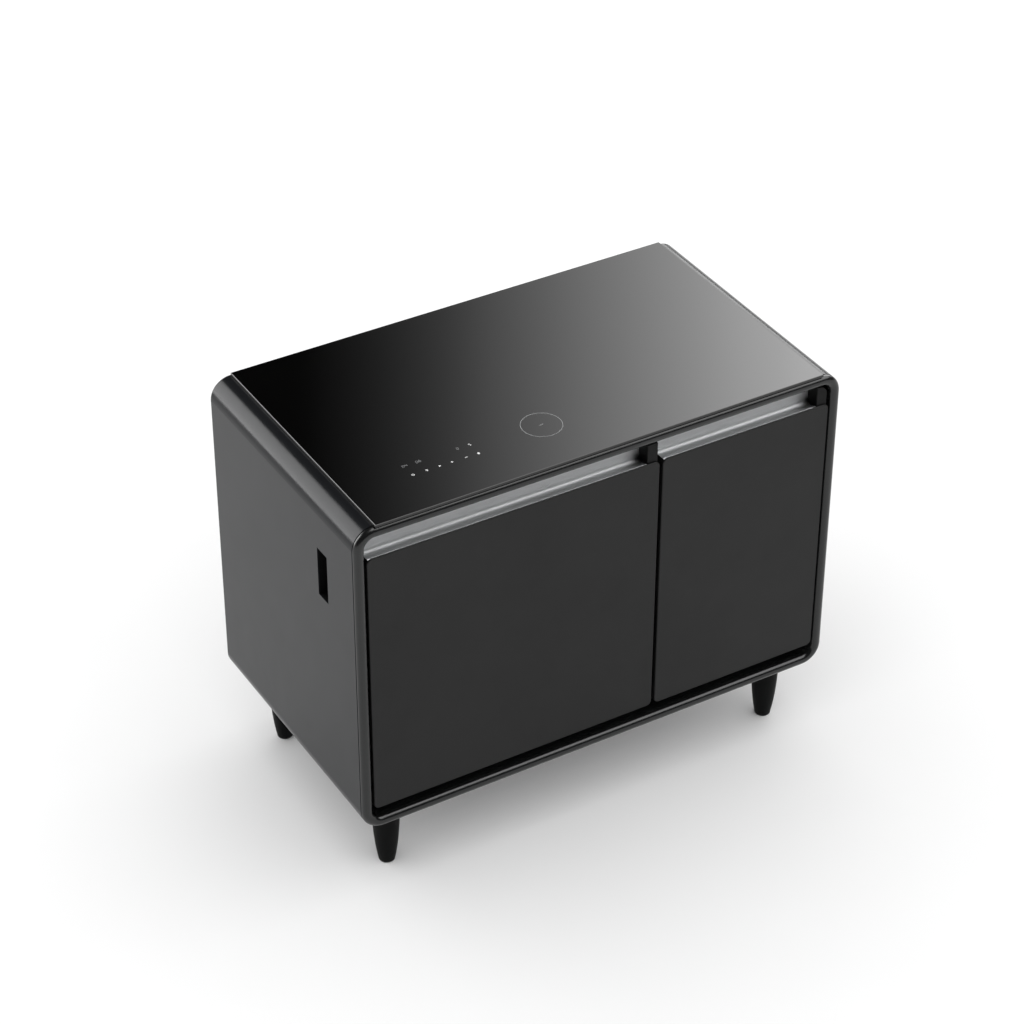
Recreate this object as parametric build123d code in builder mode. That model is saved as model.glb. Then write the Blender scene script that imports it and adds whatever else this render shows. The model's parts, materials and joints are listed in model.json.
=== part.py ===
from build123d import *
import math
import os

os.makedirs("parts", exist_ok=True)

# A refrigerator built as a low table: a rounded steel cabinet on four tapered legs, a glass top
# with touch marks and a charging ring, and two refrigerated drawers with finger-pull handles.
# X runs to the right along the width, Y runs from the front to the back and Z is up.
# The origin is on the floor under the middle of the table. All sizes are in millimetres.

# Overall size
width = 780.0
depth = 430.0
body_height = 515.0
leg_height = 115.0
corner_radius = 32.0

# Working clearances
seat_gap = 0.2
thread_gap = 0.1
slide_gap = 0.3
shaft_gap = 0.05
press_gap = 0.01

# Wrapped steel sheet and the flange folded in at its rear edge
sheet = 2.0
rear_flange = 14.0
rear_recess = 5.0

# Round-nosed frame ring round the drawer fronts
frame_width = 16.0
nose_radius = 7.8
groove_width = 2.0
frame_wall = 2.5
frame_depth = 33.0

# Steel plate behind the drawer fronts, on which their gaskets seal
plate_thickness = 1.5

# Drawer fronts
split_x = 90.0
drawer_gap = 5.5
side_gap = 2.5
bottom_gap = 19.0
panel_top_drop = 48.5
panel_recess = 2.5
panel_skin = 2.5
panel_return = 16.0
panel_radius = 8.0
panel_edge_radius = 1.5
front_thickness = 26.5

# Aluminium finger-pull channel above each front panel
handle_wall = 2.0
handle_flange = 22.0
handle_fall = 11.0
handle_root_radius = 9.0
handle_lip_radius = 1.6
handle_end_width = 16.5
handle_edge_radius = 1.0

# Inner panel, plug and gasket on the back of each drawer front
inner_panel = 4.0
plug_depth = 5.0
plug_margin = 4.5
gasket_width = 11.0
gasket_margin = 2.0
gasket_lip = 2.0
seal_gap = 0.3
opening_radius = 10.0

# Liners and insulation
liner_wall = 1.5
left_liner_from_back = 52.0
right_liner_from_bay = 22.0
foam_back_inset = 11.0

# Telescopic slides
slide_height = 40.0
slide_web = 1.5
rail_flange = 9.0
slide_thickness = 13.0
ball_space = 3.2
slide_end_clearance = 4.0
slide_centre_height = 90.0

# Drawer bins
bin_wall = 2.5
bin_height = 300.0
bin_floor_gap = 8.0
bin_radius = 8.0
bin_rim_width = 6.0
bin_rim_height = 3.0
screw_shank_radius = 2.0
screw_head_radius = 4.0
screw_head_height = 2.2

# Glass top and what is under it
glass_side_inset = 32.0
glass_front_inset = 1.5
glass_back_inset = 2.0
glass_thickness = 4.0
glass_edge = 0.5
tape_thickness = 1.0
tape_width = 12.0
tape_inset = 4.0
electronics_window_width = 300.0
electronics_window_depth = 105.0
electronics_window_from_left = 90.0
electronics_window_from_front = 41.5
electronics_bay_depth = 20.0
touch_board_width = 136.0
touch_board_depth = 48.0
touch_board_thickness = 1.6
touch_board_from_window = 24.0
touch_board_from_front = 66.0
coil_from_window = 251.0
coil_outer_radius = 24.0
coil_inner_radius = 10.5
coil_thickness = 2.0
ferrite_radius = 27.0
ferrite_thickness = 1.5

# Port recess on the left side
port_width = 28.0
port_height = 78.0
port_depth = 13.0
port_from_front = 98.0
port_below_top = 127.0
port_wall = 2.0
usb_width = 6.0
usb_height = 13.5
usb_length = 9.0
usb_wall = 0.6
usb_drop = 22.0
usb_tongue_width = 1.8
usb_tongue_margin = 1.0

# Legs
leg_side_inset = 62.0
leg_front_inset = 54.0
leg_top_radius = 20.8
leg_tip_radius = 12.3
leg_pad_height = 4.0
leg_pad_edge = 3.2
leg_curve_steps = 6
leg_bore_depth = 30.0
stud_radius = 4.0
leg_plate_size = 36.0
leg_plate_thickness = 3.0
leg_hole_radius = 4.5

# Machine bay at the rear right
bay_width = 294.0
bay_depth = 155.0
compressor_from_right = 150.0
compressor_from_back = 75.0
compressor_radius = 52.0
compressor_height = 128.0
compressor_foot_width = 124.0
compressor_foot_depth = 108.0
compressor_foot_thickness = 3.0
compressor_seam = 3.0
compressor_dome_radius = 18.0
grommet_radius = 9.0
grommet_height = 12.0
mount_stud_radius = 3.0
fan_size = 80.0
fan_thickness = 25.0
fan_bore_radius = 37.0
fan_hub_radius = 15.0
fan_blade_count = 7
fan_blade_width = 13.0
fan_blade_thickness = 1.6
fan_blade_pitch = 40.0
fan_tip_gap = 1.5
fan_shaft_radius = 1.5
fan_strut_width = 5.0
fan_strut_depth = 4.0
fan_corner_radius = 5.0
fan_centre_height = 92.0
bracket_from_bay = 40.0
bracket_thickness = 1.5
bracket_width = 130.0
bracket_height = 170.0
bracket_foot = 16.0
fin_count = 24
fin_pitch = 4.2
fin_thickness = 0.8
fin_width = 22.0
fin_height = 156.0
fin_floor_gap = 14.0
tube_radius = 3.0
tube_passes = 6
tube_pitch = 25.0
tube_overhang = 4.0
tube_foam_length = 16.0
pipe_radius = 3.0
pipe_rise = 40.0
pipe_bend = 10.0

# Evaporator plates behind the liners
evaporator_thickness = 1.5
evaporator_margin = 40.0

# Control box and mains inlet
control_width = 130.0
control_height = 84.0
control_depth = 34.0
control_wall = 2.0
control_below_top = 73.0
board_thickness = 1.6
board_standoff = 6.0
inlet_from_right = 60.0
inlet_below_top = 58.0
inlet_body_width = 27.0
inlet_body_height = 20.0
inlet_body_depth = 24.0
inlet_flange_width = 48.0
inlet_flange_height = 26.0
inlet_flange_thickness = 2.5
inlet_socket_margin = 2.0
inlet_socket_depth = 16.0
inlet_pin_width = 2.0
inlet_pin_height = 4.0
inlet_pin_length = 12.0
inlet_pin_pitch = 7.0

# Rear panel
rear_panel_thickness = 1.5
rear_screw_inset = 9.0
rear_screw_length = 5.0
vent_slot_length = 60.0
vent_slot_height = 6.0
vent_rows = 12
vent_row_pitch = 14.0
vent_columns = 3
vent_column_pitch = 76.0
vent_above_floor = 130.0

# Places worked out from the sizes above
front_y = -depth / 2
back_y = depth / 2
body_bottom = leg_height
body_top = leg_height + body_height
body_middle = (body_bottom + body_top) / 2
floor_top = body_bottom + sheet
nose_back_y = front_y + nose_radius
shell_front_y = nose_back_y + groove_width
face_plate_y = front_y + frame_depth
plate_back_y = face_plate_y + plate_thickness
rear_panel_y = back_y - rear_recess
panel_top = body_top - panel_top_drop
panel_bottom = body_bottom + frame_width + bottom_gap
handle_top = body_top - frame_width - side_gap
handle_corner_radius = corner_radius - frame_width - side_gap
front_face_y = front_y + panel_recess
front_back_y = front_face_y + front_thickness
inner_panel_y = front_back_y - inner_panel
fronts_left = -width / 2 + frame_width + side_gap
fronts_right = width / 2 - frame_width - side_gap
handle_root_z = panel_top - handle_fall - handle_wall
inner_panel_top = handle_root_z
inner_panel_bottom = panel_bottom + panel_skin + seat_gap
opening_margin = gasket_margin + gasket_width + gasket_lip
opening_bottom = inner_panel_bottom + opening_margin
opening_top = inner_panel_top - opening_margin
slide_z = opening_bottom + slide_centre_height
bin_bottom = opening_bottom + bin_floor_gap
bin_top = bin_bottom + bin_height
glass_bottom = body_top + tape_thickness
glass_width = width - 2 * glass_side_inset
glass_depth = depth - glass_front_inset - glass_back_inset
glass_y = (glass_front_inset - glass_back_inset) / 2
bay_left_x = width / 2 - bay_width
bay_front_y = back_y - bay_depth
left_liner_back = back_y - left_liner_from_back
right_liner_back = bay_front_y - right_liner_from_bay
compressor_x = width / 2 - compressor_from_right
compressor_y = back_y - compressor_from_back
bracket_left_x = bay_left_x + bracket_from_bay
window_left = -width / 2 + electronics_window_from_left
window_x = window_left + electronics_window_width / 2
window_y = front_y + electronics_window_from_front + electronics_window_depth / 2
touch_board_x = window_left + touch_board_from_window + touch_board_width / 2
touch_board_y = front_y + touch_board_from_front + touch_board_depth / 2
coil_x = window_left + coil_from_window
inlet_x = width / 2 - inlet_from_right
inlet_z = body_top - inlet_below_top
control_z = body_top - control_below_top
port_y = front_y + port_from_front
port_z = body_top - port_below_top
leg_x = width / 2 - leg_side_inset
leg_y = depth / 2 - leg_front_inset
stud_top = floor_top + leg_plate_thickness
stud_bottom = body_bottom - leg_bore_depth
leg_curve_height = (body_bottom - leg_pad_height) / math.sqrt(1 - (leg_tip_radius / leg_top_radius) ** 2)


def upright(y):
    """A plane facing the front at this Y, with X to the right and Z up."""
    return Plane.XZ.offset(-y)


def sideways(x):
    """A plane facing the right at this X, with Y towards the back and Z up."""
    return Plane.YZ.offset(x)


def save(builder, label):
    """Label one finished piece and write it to its own file."""
    builder.part.label = label
    export_step(builder.part, f"parts/{label}.step")


def body_outline(inset, mode=Mode.ADD):
    """The cabinet's rounded cross-section, set in by this much all round."""
    with Locations((0, body_middle)):
        RectangleRounded(
            width - 2 * inset,
            body_height - 2 * inset,
            corner_radius - inset,
            mode=mode,
        )


def box_outline(left, right, bottom, top, radius, mode=Mode.ADD):
    """A rounded rectangle given by its four sides."""
    with Locations(((left + right) / 2, (bottom + top) / 2)):
        RectangleRounded(right - left, top - bottom, radius, mode=mode)


def leg_places():
    """The four points under the cabinet where the legs stand."""
    return [(-leg_x, -leg_y), (leg_x, -leg_y), (-leg_x, leg_y), (leg_x, leg_y)]


def rear_screw_places():
    """Screw places along the rear panel's top and bottom, relative to the body's middle."""
    spread_x = (width - 2 * corner_radius) / 3
    spread_z = body_height - 2 * (sheet + rear_screw_inset)
    return GridLocations(spread_x, spread_z, 4, 2)


def front_span(side):
    """Left and right edges of one drawer front."""
    if side == "left":
        return fronts_left, split_x - drawer_gap / 2
    return split_x + drawer_gap / 2, fronts_right


def inner_span(side):
    """Left and right edges of what sits inside a front panel's returns."""
    left, right = front_span(side)
    return left + panel_skin + seat_gap, right - panel_skin - seat_gap


def opening_span(side):
    """Left and right edges of one drawer opening in the face plate."""
    left, right = inner_span(side)
    return left + opening_margin, right - opening_margin


def liner_back(side):
    """How far back the inside of one liner reaches."""
    return left_liner_back if side == "left" else right_liner_back


def rail_back(side):
    """Rear end of one drawer's slides and bin."""
    return liner_back(side) - slide_end_clearance


# Places in the machine bay that more than one piece uses
fan_z = floor_top + fan_centre_height
fin_x = bracket_left_x - fin_width / 2
fins_length = (fin_count - 1) * fin_pitch
fin_bottom = floor_top + fin_floor_gap
fin_middle = fin_bottom + fin_height / 2
tube_start_y = bay_front_y - tube_foam_length
suction_hole_y = left_liner_back + liner_wall + evaporator_thickness + pipe_radius
suction_hole_z = opening_top - evaporator_margin * 2
suction_end_x = opening_span("left")[1] - evaporator_margin * 2


def pass_heights():
    """Heights of the condenser tube's straight passes."""
    first = fin_middle - (tube_passes - 1) * tube_pitch / 2
    return [first + tube_pitch * index for index in range(tube_passes)]


# Cabinet shell: a tube of steel sheet with a rear flange, a window under the glass,
# the port hole in its left side and the leg holes in its floor
flange_front_y = rear_panel_y - sheet
with BuildPart() as cabinet_shell:
    with BuildSketch(upright(back_y)):
        body_outline(0)
        body_outline(sheet, Mode.SUBTRACT)
    extrude(amount=back_y - shell_front_y)
    with BuildSketch(upright(rear_panel_y)):
        body_outline(sheet)
        body_outline(sheet + rear_flange, Mode.SUBTRACT)
    extrude(amount=sheet)
    with BuildSketch(Plane.XY.offset(body_top - sheet)):
        with Locations((window_x, window_y)):
            Rectangle(electronics_window_width, electronics_window_depth)
    extrude(amount=sheet, mode=Mode.SUBTRACT)
    with BuildSketch(sideways(-width / 2)):
        with Locations((port_y, port_z)):
            Rectangle(port_width, port_height)
    extrude(amount=sheet, mode=Mode.SUBTRACT)
    with BuildSketch(Plane.XY.offset(body_bottom)):
        with Locations(*leg_places()):
            Circle(leg_hole_radius)
    extrude(amount=sheet, mode=Mode.SUBTRACT)
    with BuildSketch(upright(rear_panel_y)):
        with Locations((0, body_middle)):
            with rear_screw_places():
                Circle(screw_shank_radius + thread_gap)
    extrude(amount=sheet, mode=Mode.SUBTRACT)
save(cabinet_shell, "cabinet_shell")

# Front frame: a round-nosed ring, hollow from behind, that plugs into the shell
with BuildPart() as front_frame:
    with BuildSketch(upright(nose_back_y)):
        body_outline(0)
        body_outline(frame_width, Mode.SUBTRACT)
    extrude(amount=nose_radius)
    nose_edges = front_frame.edges().group_by(Axis.Y)[0]
    fillet(nose_edges, nose_radius - seat_gap)
    with BuildSketch(upright(face_plate_y)):
        body_outline(sheet + seat_gap)
        body_outline(frame_width, Mode.SUBTRACT)
    extrude(amount=face_plate_y - nose_back_y)
    with BuildSketch(upright(face_plate_y)):
        body_outline(sheet + seat_gap + frame_wall)
        body_outline(frame_width - frame_wall, Mode.SUBTRACT)
    extrude(amount=face_plate_y - nose_back_y, mode=Mode.SUBTRACT)
save(front_frame, "front_frame")

# Face plate with the two drawer openings
with BuildPart() as face_plate:
    with BuildSketch(upright(plate_back_y)):
        body_outline(sheet + seat_gap)
        for side in ("left", "right"):
            left, right = opening_span(side)
            box_outline(left, right, opening_bottom, opening_top, opening_radius, Mode.SUBTRACT)
    extrude(amount=plate_thickness)
save(face_plate, "face_plate")


# Liners: open-fronted boxes behind the face plate
def liner(side):
    left, right = opening_span(side)
    outer_back = liner_back(side) + liner_wall
    with BuildPart() as shell:
        with BuildSketch(upright(outer_back)):
            box_outline(
                left - liner_wall,
                right + liner_wall,
                opening_bottom - liner_wall,
                opening_top + liner_wall,
                opening_radius + liner_wall,
            )
        extrude(amount=outer_back - plate_back_y)
        with BuildSketch(upright(liner_back(side))):
            box_outline(left, right, opening_bottom, opening_top, opening_radius)
        extrude(amount=liner_back(side) - plate_back_y, mode=Mode.SUBTRACT)
    return shell


for side in ("left", "right"):
    save(liner(side), f"{side}_liner")


# Evaporator plates: one flat plate against the back of each liner
def evaporator_outline(side):
    left, right = opening_span(side)
    box_outline(
        left + evaporator_margin,
        right - evaporator_margin,
        opening_bottom + evaporator_margin,
        opening_top - evaporator_margin,
        opening_radius,
    )


with BuildPart() as evaporator_plates:
    for side in ("left", "right"):
        plate_back = liner_back(side) + liner_wall + evaporator_thickness
        with BuildSketch(upright(plate_back)):
            evaporator_outline(side)
        extrude(amount=evaporator_thickness)
save(evaporator_plates, "evaporator_plates")

# Insulation: one foam block between the shell and the liners, cut away for the machine bay,
# the electronics under the glass, the port recess and the leg plates
foam_back_y = back_y - foam_back_inset
with BuildPart() as foam_body:
    with BuildSketch(upright(foam_back_y)):
        body_outline(sheet + seat_gap)
    extrude(amount=foam_back_y - plate_back_y)
    for side in ("left", "right"):
        left, right = opening_span(side)
        outer_back = liner_back(side) + liner_wall
        with BuildSketch(upright(outer_back)):
            box_outline(
                left - liner_wall - seat_gap,
                right + liner_wall + seat_gap,
                opening_bottom - liner_wall - seat_gap,
                opening_top + liner_wall + seat_gap,
                opening_radius + liner_wall + seat_gap,
            )
        extrude(amount=outer_back - plate_back_y, mode=Mode.SUBTRACT)
        with BuildSketch(upright(outer_back + evaporator_thickness)):
            evaporator_outline(side)
        extrude(amount=evaporator_thickness, mode=Mode.SUBTRACT)
    with BuildSketch(upright(foam_back_y)):
        with Locations(((bay_left_x + width / 2) / 2, body_middle)):
            Rectangle(width / 2 - bay_left_x, body_height)
    extrude(amount=foam_back_y - bay_front_y, mode=Mode.SUBTRACT)
    with BuildSketch(Plane.XY.offset(body_top - sheet - electronics_bay_depth)):
        with Locations((window_x, window_y)):
            Rectangle(electronics_window_width, electronics_window_depth)
    extrude(amount=electronics_bay_depth, mode=Mode.SUBTRACT)
    with BuildSketch(sideways(-width / 2)):
        with Locations((port_y, port_z)):
            Rectangle(
                port_width + 2 * (port_wall + seat_gap),
                port_height + 2 * (port_wall + seat_gap),
            )
    extrude(amount=sheet + port_depth + port_wall + usb_length, mode=Mode.SUBTRACT)
    with BuildSketch(Plane.XY.offset(body_bottom)):
        with Locations(*leg_places()):
            Rectangle(leg_plate_size + 2 * seat_gap, leg_plate_size + 2 * seat_gap)
    extrude(amount=sheet + leg_plate_thickness + seat_gap, mode=Mode.SUBTRACT)
    with BuildSketch(sideways(bay_left_x)):
        with Locations((suction_hole_y, suction_hole_z)):
            Circle(pipe_radius + seat_gap)
    extrude(amount=suction_end_x - bay_left_x, mode=Mode.SUBTRACT)
    with BuildSketch(upright(bay_front_y)):
        with Locations((fin_x, pass_heights()[0])):
            Circle(tube_radius + seat_gap)
    extrude(amount=tube_foam_length, mode=Mode.SUBTRACT)
save(foam_body, "foam_body")


# Telescopic slides: each has a rail on the liner, a middle member and a runner on the bin.
# A member's section is drawn from the liner's wall outwards and mirrored for the other wall.
def member_section(web_start, flange_start, flange_end, half_height):
    """One channel section: a web with a flange at its top and bottom."""
    inner_height = half_height - slide_web
    reach = flange_end - flange_start
    with Locations((web_start + slide_web / 2, 0)):
        Rectangle(slide_web, 2 * half_height)
    for sign in (-1, 1):
        with Locations((flange_start + reach / 2, sign * (inner_height + slide_web / 2))):
            Rectangle(reach, slide_web)


middle_web = slide_web + slide_gap
middle_half_height = slide_height / 2 - slide_web - ball_space
runner_half_height = middle_half_height - slide_web - ball_space
runner_web = slide_thickness - slide_web
runner_tip = middle_web + slide_web + slide_gap
middle_tip = runner_web - slide_gap
slide_sections = {
    "rails": (0, 0, rail_flange, slide_height / 2),
    "middles": (middle_web, middle_web, middle_tip, middle_half_height),
    "runners": (runner_web, runner_tip, slide_thickness, runner_half_height),
}


def slide_pair(side, member):
    """The same member of both of a drawer's slides."""
    left, right = opening_span(side)
    length = rail_back(side) - plate_back_y
    web_start, flange_start, flange_end, half_height = slide_sections[member]
    left_wall = Plane((left, rail_back(side), slide_z), x_dir=(1, 0, 0), z_dir=(0, -1, 0))
    right_wall = Plane((right, rail_back(side), slide_z), x_dir=(-1, 0, 0), z_dir=(0, 1, 0))
    with BuildPart() as pair:
        with BuildSketch(left_wall):
            member_section(web_start, flange_start, flange_end, half_height)
        extrude(amount=length)
        with BuildSketch(right_wall):
            member_section(web_start, flange_start, flange_end, half_height)
        extrude(amount=-length)
    return pair


for side in ("left", "right"):
    save(slide_pair(side, "rails"), f"{side}_slide_rails")
    save(slide_pair(side, "middles"), f"{side}_slide_middles")
    save(slide_pair(side, "runners"), f"{side}_slide_runners")


# Drawer front, from the outside in: panel, handle channel with its end block, foam,
# inner panel with its plug, and gasket
def front_panel(side):
    left, right = front_span(side)
    with BuildPart() as panel:
        with BuildSketch(upright(front_face_y + panel_skin + panel_return)):
            box_outline(left, right, panel_bottom, panel_top, panel_radius)
        extrude(amount=panel_skin + panel_return)
        fillet(panel.edges().group_by(Axis.Y)[0], panel_edge_radius)
        pocket_bottom = panel_bottom + panel_skin
        pocket_top = panel_top + panel_skin
        with BuildSketch(upright(front_face_y + panel_skin + panel_return)):
            with Locations(((left + right) / 2, (pocket_bottom + pocket_top) / 2)):
                Rectangle(right - left - 2 * panel_skin, pocket_top - pocket_bottom)
        extrude(amount=panel_return, mode=Mode.SUBTRACT)
    return panel


flange_y = front_face_y + panel_skin + seat_gap + handle_wall / 2
handle_wall_y = front_back_y - handle_wall / 2


def handle_path():
    """Middle line of the channel's section: flange, lip, falling floor and rear wall."""
    return FilletPolyline(
        (flange_y, panel_top - handle_flange),
        (flange_y, panel_top - handle_wall / 2),
        (handle_wall_y, panel_top - handle_fall - handle_wall / 2),
        (handle_wall_y, handle_top),
        radius=[handle_lip_radius, handle_root_radius],
    )


def round_top_corner(side, builder):
    """Round the handle's top corner where it passes the frame's inner corner."""
    left, right = inner_span(side)
    if side == "left":
        corners = builder.edges().filter_by(Axis.Y).group_by(Axis.Z)[-1].sort_by(Axis.X)[:1]
    else:
        corners = builder.edges().filter_by(Axis.Y).group_by(Axis.Z)[-1].sort_by(Axis.X)[-1:]
    fillet(corners, handle_corner_radius)


def handle_channel(side):
    left, right = inner_span(side)
    length = right - handle_end_width - left
    with BuildPart() as channel:
        with BuildSketch(sideways(left)):
            with BuildLine():
                handle_path()
            trace(line_width=handle_wall)
        extrude(amount=length)
        if side == "left":
            round_top_corner(side, channel)
    return channel


def handle_end(side):
    right = inner_span(side)[1]
    block_front_y = front_face_y + panel_skin + seat_gap
    with BuildPart() as block:
        with BuildSketch(upright(front_back_y)):
            box_left = right - handle_end_width
            with Locations(((box_left + right) / 2, (handle_root_z + handle_top) / 2)):
                Rectangle(handle_end_width, handle_top - handle_root_z)
        extrude(amount=front_back_y - block_front_y)
        front_corner = block.edges().filter_by(Axis.Z).group_by(Axis.Y)[0].sort_by(Axis.X)[:1]
        fillet(front_corner, handle_edge_radius)
        if side == "right":
            round_top_corner(side, block)
    return block


def front_foam(side):
    left, right = inner_span(side)
    foam_front = front_face_y + panel_skin + seat_gap
    behind_flange = foam_front + handle_wall + seat_gap
    flange_bottom = panel_top - handle_flange - seat_gap
    foam_top = handle_root_z - seat_gap
    with BuildPart() as foam:
        with BuildSketch(sideways(left)):
            with BuildLine():
                Polyline(
                    (foam_front, inner_panel_bottom),
                    (inner_panel_y, inner_panel_bottom),
                    (inner_panel_y, foam_top),
                    (behind_flange, foam_top),
                    (behind_flange, flange_bottom),
                    (foam_front, flange_bottom),
                    close=True,
                )
            make_face()
        extrude(amount=right - left)
    return foam


def bin_screw_places(side):
    """Where the screws pass from a bin's front wall into the inner panel."""
    left, right = opening_span(side)
    spread = right - left - 2 * slide_thickness - 4 * bin_radius
    return GridLocations(spread, bin_height / 2, 2, 2)


def inner_panel_plate(side):
    left, right = inner_span(side)
    open_left, open_right = opening_span(side)
    plug_back_y = front_back_y + plug_depth
    with BuildPart() as plate:
        with BuildSketch(upright(front_back_y)):
            box_outline(left, right, inner_panel_bottom, inner_panel_top, panel_radius - panel_skin)
        extrude(amount=inner_panel)
        with BuildSketch(upright(plug_back_y)):
            box_outline(
                open_left + plug_margin,
                open_right - plug_margin,
                opening_bottom + plug_margin,
                opening_top - plug_margin,
                opening_radius,
            )
        extrude(amount=plug_depth)
        with BuildSketch(upright(plug_back_y)):
            with Locations(((open_left + open_right) / 2, (bin_bottom + bin_top) / 2)):
                with bin_screw_places(side):
                    Circle(screw_shank_radius + thread_gap)
        extrude(amount=plug_depth + inner_panel / 2, mode=Mode.SUBTRACT)
    return plate


def gasket(side):
    left, right = inner_span(side)
    left, right = left + gasket_margin, right - gasket_margin
    bottom, top = inner_panel_bottom + gasket_margin, inner_panel_top - gasket_margin
    with BuildPart() as ring:
        with BuildSketch(upright(face_plate_y - seal_gap)):
            box_outline(left, right, bottom, top, opening_radius)
            box_outline(
                left + gasket_width,
                right - gasket_width,
                bottom + gasket_width,
                top - gasket_width,
                opening_radius / 2,
                Mode.SUBTRACT,
            )
        extrude(amount=face_plate_y - seal_gap - front_back_y)
    return ring


# Drawer bins: open boxes carried between the two runners, screwed to the inner panel
def bin_span(side):
    left, right = opening_span(side)
    return left + slide_thickness, right - slide_thickness


def drawer_bin(side):
    left, right = bin_span(side)
    bin_front = front_back_y + plug_depth
    bin_length = rail_back(side) - bin_front
    middle = ((left + right) / 2, bin_front + bin_length / 2)
    with BuildPart() as tub:
        with BuildSketch(Plane.XY.offset(bin_bottom)):
            with Locations(middle):
                RectangleRounded(right - left, bin_length, bin_radius)
        extrude(amount=bin_height)
        with BuildSketch(Plane.XY.offset(bin_bottom + bin_wall)):
            with Locations(middle):
                RectangleRounded(
                    right - left - 2 * bin_wall,
                    bin_length - 2 * bin_wall,
                    bin_radius - bin_wall,
                )
        extrude(amount=bin_height - bin_wall, mode=Mode.SUBTRACT)
        with BuildSketch(Plane.XY.offset(bin_top - bin_rim_height)):
            with Locations(middle):
                RectangleRounded(right - left + 2 * bin_rim_width, bin_length, bin_radius)
                RectangleRounded(
                    right - left - 2 * bin_wall,
                    bin_length - 2 * bin_wall,
                    bin_radius - bin_wall,
                    mode=Mode.SUBTRACT,
                )
        extrude(amount=bin_rim_height)
        with BuildSketch(upright(bin_front + bin_wall)):
            with Locations(((left + right) / 2, (bin_bottom + bin_top) / 2)):
                with bin_screw_places(side):
                    Circle(screw_shank_radius + thread_gap)
        extrude(amount=bin_wall, mode=Mode.SUBTRACT)
    return tub


def bin_screws(side):
    left, right = bin_span(side)
    head_front = front_back_y + plug_depth + bin_wall
    shank_length = bin_wall + plug_depth
    with BuildPart() as screws:
        with BuildSketch(upright(head_front)):
            with Locations(((left + right) / 2, (bin_bottom + bin_top) / 2)):
                with bin_screw_places(side):
                    Circle(screw_shank_radius)
        extrude(amount=shank_length)
        with BuildSketch(upright(head_front)):
            with Locations(((left + right) / 2, (bin_bottom + bin_top) / 2)):
                with bin_screw_places(side):
                    Circle(screw_head_radius)
        extrude(amount=-screw_head_height)
    return screws


for side in ("left", "right"):
    save(front_panel(side), f"{side}_drawer_panel")
    save(handle_channel(side), f"{side}_drawer_handle")
    save(handle_end(side), f"{side}_handle_end")
    save(front_foam(side), f"{side}_drawer_foam")
    save(inner_panel_plate(side), f"{side}_drawer_inner_panel")
    save(gasket(side), f"{side}_drawer_gasket")
    save(drawer_bin(side), f"{side}_drawer_bin")
    save(bin_screws(side), f"{side}_bin_screws")

# Glass top on its bonding tape
with BuildPart() as glass_top:
    with BuildSketch(Plane.XY.offset(glass_bottom)):
        with Locations((0, glass_y)):
            Rectangle(glass_width, glass_depth)
    extrude(amount=glass_thickness)
    chamfer(glass_top.edges().group_by(Axis.Z)[-1], glass_edge)
save(glass_top, "glass_top")

with BuildPart() as glass_tape:
    tape_outer_width = glass_width - 2 * tape_inset
    tape_outer_depth = glass_depth - 2 * (tape_inset + nose_radius)
    with BuildSketch(Plane.XY.offset(body_top)):
        with Locations((0, glass_y)):
            Rectangle(tape_outer_width, tape_outer_depth)
            Rectangle(
                tape_outer_width - 2 * tape_width,
                tape_outer_depth - 2 * tape_width,
                mode=Mode.SUBTRACT,
            )
    extrude(amount=tape_thickness)
save(glass_tape, "glass_tape")

# Touch board and charging coil, bonded to the glass's underside inside the shell's window
with BuildPart() as touch_board:
    with BuildSketch(Plane.XY.offset(glass_bottom - touch_board_thickness)):
        with Locations((touch_board_x, touch_board_y)):
            Rectangle(touch_board_width, touch_board_depth)
    extrude(amount=touch_board_thickness)
save(touch_board, "touch_board")

with BuildPart() as charging_coil:
    with BuildSketch(Plane.XY.offset(glass_bottom - coil_thickness)):
        with Locations((coil_x, window_y)):
            Circle(coil_outer_radius)
            Circle(coil_inner_radius, mode=Mode.SUBTRACT)
    extrude(amount=coil_thickness)
save(charging_coil, "charging_coil")

with BuildPart() as charging_ferrite:
    with BuildSketch(Plane.XY.offset(glass_bottom - coil_thickness - ferrite_thickness)):
        with Locations((coil_x, window_y)):
            Circle(ferrite_radius)
    extrude(amount=ferrite_thickness)
save(charging_ferrite, "charging_ferrite")

# Port recess and its socket behind the hole in the left side
port_front_x = -width / 2 + sheet
port_back_x = port_front_x + port_depth
usb_z = port_z - usb_drop
with BuildPart() as side_port_bezel:
    with BuildSketch(sideways(port_front_x)):
        with Locations((port_y, port_z)):
            Rectangle(port_width + 2 * port_wall, port_height + 2 * port_wall)
    extrude(amount=port_depth + port_wall)
    with BuildSketch(sideways(port_front_x)):
        with Locations((port_y, port_z)):
            Rectangle(port_width, port_height)
    extrude(amount=port_depth, mode=Mode.SUBTRACT)
    with BuildSketch(sideways(port_back_x)):
        with Locations((port_y, usb_z)):
            Rectangle(usb_width + 2 * seat_gap, usb_height + 2 * seat_gap)
    extrude(amount=port_wall, mode=Mode.SUBTRACT)
save(side_port_bezel, "side_port_bezel")

with BuildPart() as usb_socket:
    with BuildSketch(sideways(port_back_x)):
        with Locations((port_y, usb_z)):
            Rectangle(usb_width, usb_height)
    extrude(amount=usb_length)
    with BuildSketch(sideways(port_back_x)):
        with Locations((port_y, usb_z)):
            Rectangle(usb_width - 2 * usb_wall, usb_height - 2 * usb_wall)
            Rectangle(
                usb_tongue_width,
                usb_height - 2 * usb_wall - 2 * usb_tongue_margin,
                mode=Mode.SUBTRACT,
            )
    extrude(amount=usb_length - usb_wall, mode=Mode.SUBTRACT)
save(usb_socket, "usb_socket")


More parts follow.
